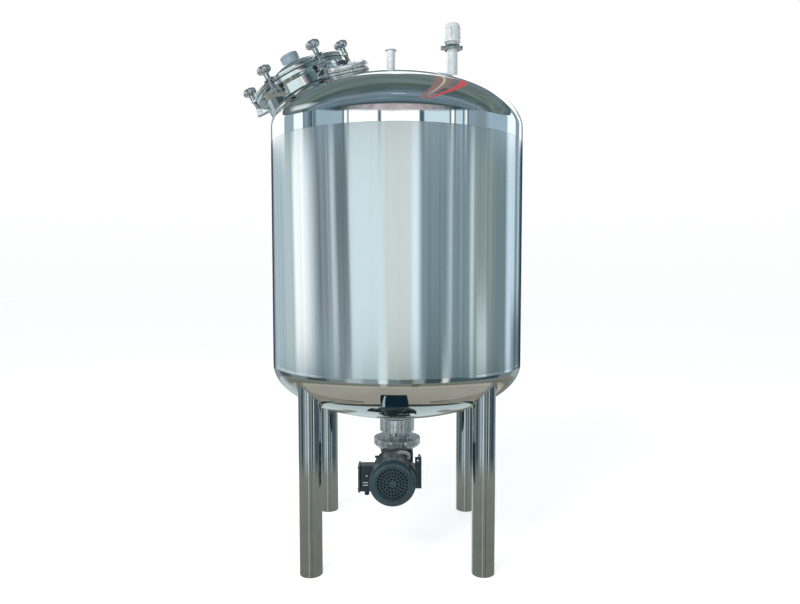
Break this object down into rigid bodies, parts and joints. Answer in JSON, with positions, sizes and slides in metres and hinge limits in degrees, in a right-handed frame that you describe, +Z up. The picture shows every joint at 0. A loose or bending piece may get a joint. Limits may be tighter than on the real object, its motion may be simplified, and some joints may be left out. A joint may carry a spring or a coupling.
{
  "type": "mixing tank",
  "caption": "Upright polished steel mixing tank on tube legs, with a tilted bolted manway, sight glass, inlet nozzle, vent filter and a geared motor drive underneath.",
  "frame": {"origin": "on the floor, under the middle of the whole outline; the vessel's upright axis stands 67 mm to +X of it", "axes": "+Z up; -Y is the front, which the motor's fan cover faces; +X is to the right seen from the front, away from the manway"},
  "size_m": [1.3334, 1.2, 2.532],
  "materials": {
    "polished_steel": "mirror-polished stainless steel",
    "brushed_steel": "stainless sheet brushed around the vessel",
    "machined_steel": "bright turned steel",
    "motor_paint": "semi-gloss dark teal enamel on castings",
    "cast_grey": "satin grey metal",
    "black_plastic": "moulded black plastic",
    "gasket_white": "white silicone rubber",
    "sight_glass": "clear toughened glass over a dark inside"
  },
  "bodies": {
    "root": {"shell": "brushed_steel", "top_head": "polished_steel", "bottom_head": "polished_steel", "leg_front_left": "polished_steel", "leg_front_right": "polished_steel", "leg_rear_left": "polished_steel", "leg_rear_right": "polished_steel", "manway_neck": "polished_steel", "manway_gasket": "gasket_white", "manway_lid": "polished_steel", "lid_hinge_arm": "polished_steel", "lid_sight_ring": "cast_grey", "lid_sight_glass": "sight_glass", "sight_base_ring": "machined_steel", "sight_gasket": "gasket_white", "sight_glass_disc": "sight_glass", "sight_cover_ring": "machined_steel", "inlet_nozzle": "polished_steel", "vent_pipe": "polished_steel", "vent_clamp": "polished_steel", "vent_clamp_nut": "polished_steel", "vent_filter_housing": "polished_steel", "outlet_nozzle": "polished_steel", "outlet_clamp": "machined_steel", "outlet_clamp_nut": "machined_steel", "coupling_housing": "machined_steel", "coupling_neck": "machined_steel", "neck_port": "machined_steel", "drive_flange": "machined_steel", "gearbox": "motor_paint", "breather_plug": "black_plastic", "motor_frame": "motor_paint", "motor_fan_cover": "motor_paint", "motor_feet": "motor_paint", "lifting_strap": "cast_grey", "terminal_box": "motor_paint", "terminal_box_lid": "motor_paint", "cable_gland": "black_plastic"},
    "bolt_1": {"swing_bolt_1": "polished_steel", "hand_knob_1": "polished_steel"},
    "bolt_2": {"swing_bolt_2": "polished_steel", "hand_knob_2": "polished_steel"},
    "bolt_3": {"swing_bolt_3": "polished_steel", "hand_knob_3": "polished_steel"},
    "bolt_4": {"swing_bolt_4": "polished_steel", "hand_knob_4": "polished_steel"},
    "bolt_5": {"swing_bolt_5": "polished_steel", "hand_knob_5": "polished_steel"},
    "bolt_6": {"swing_bolt_6": "polished_steel", "hand_knob_6": "polished_steel"}
  },
  "joints": [
    {"name": "swing_1", "type": "hinge", "parent": "root", "child": "bolt_1", "pos_m": [-0.15484, -0.05372, 2.31431], "axis": [-0.0091, 0.9986, 0.053], "range_deg": [0, 90]},
    {"name": "swing_2", "type": "hinge", "parent": "root", "child": "bolt_2", "pos_m": [-0.26497, 0.1579, 2.27076], "axis": [-0.7774, 0.5129, -0.364], "range_deg": [0, 90]},
    {"name": "swing_3", "type": "hinge", "parent": "root", "child": "bolt_3", "pos_m": [-0.48139, 0.16172, 2.16142], "axis": [-0.7683, -0.4856, -0.417], "range_deg": [0, 90]},
    {"name": "swing_4", "type": "hinge", "parent": "root", "child": "bolt_4", "pos_m": [-0.58767, -0.04608, 2.09563], "axis": [0.0091, -0.9986, -0.053], "range_deg": [0, 90]},
    {"name": "swing_5", "type": "hinge", "parent": "root", "child": "bolt_5", "pos_m": [-0.47755, -0.2577, 2.13917], "axis": [0.7774, -0.5129, 0.364], "range_deg": [0, 90]},
    {"name": "swing_6", "type": "hinge", "parent": "root", "child": "bolt_6", "pos_m": [-0.26113, -0.26152, 2.24851], "axis": [0.7683, 0.4856, 0.417], "range_deg": [0, 90]}
  ]
}
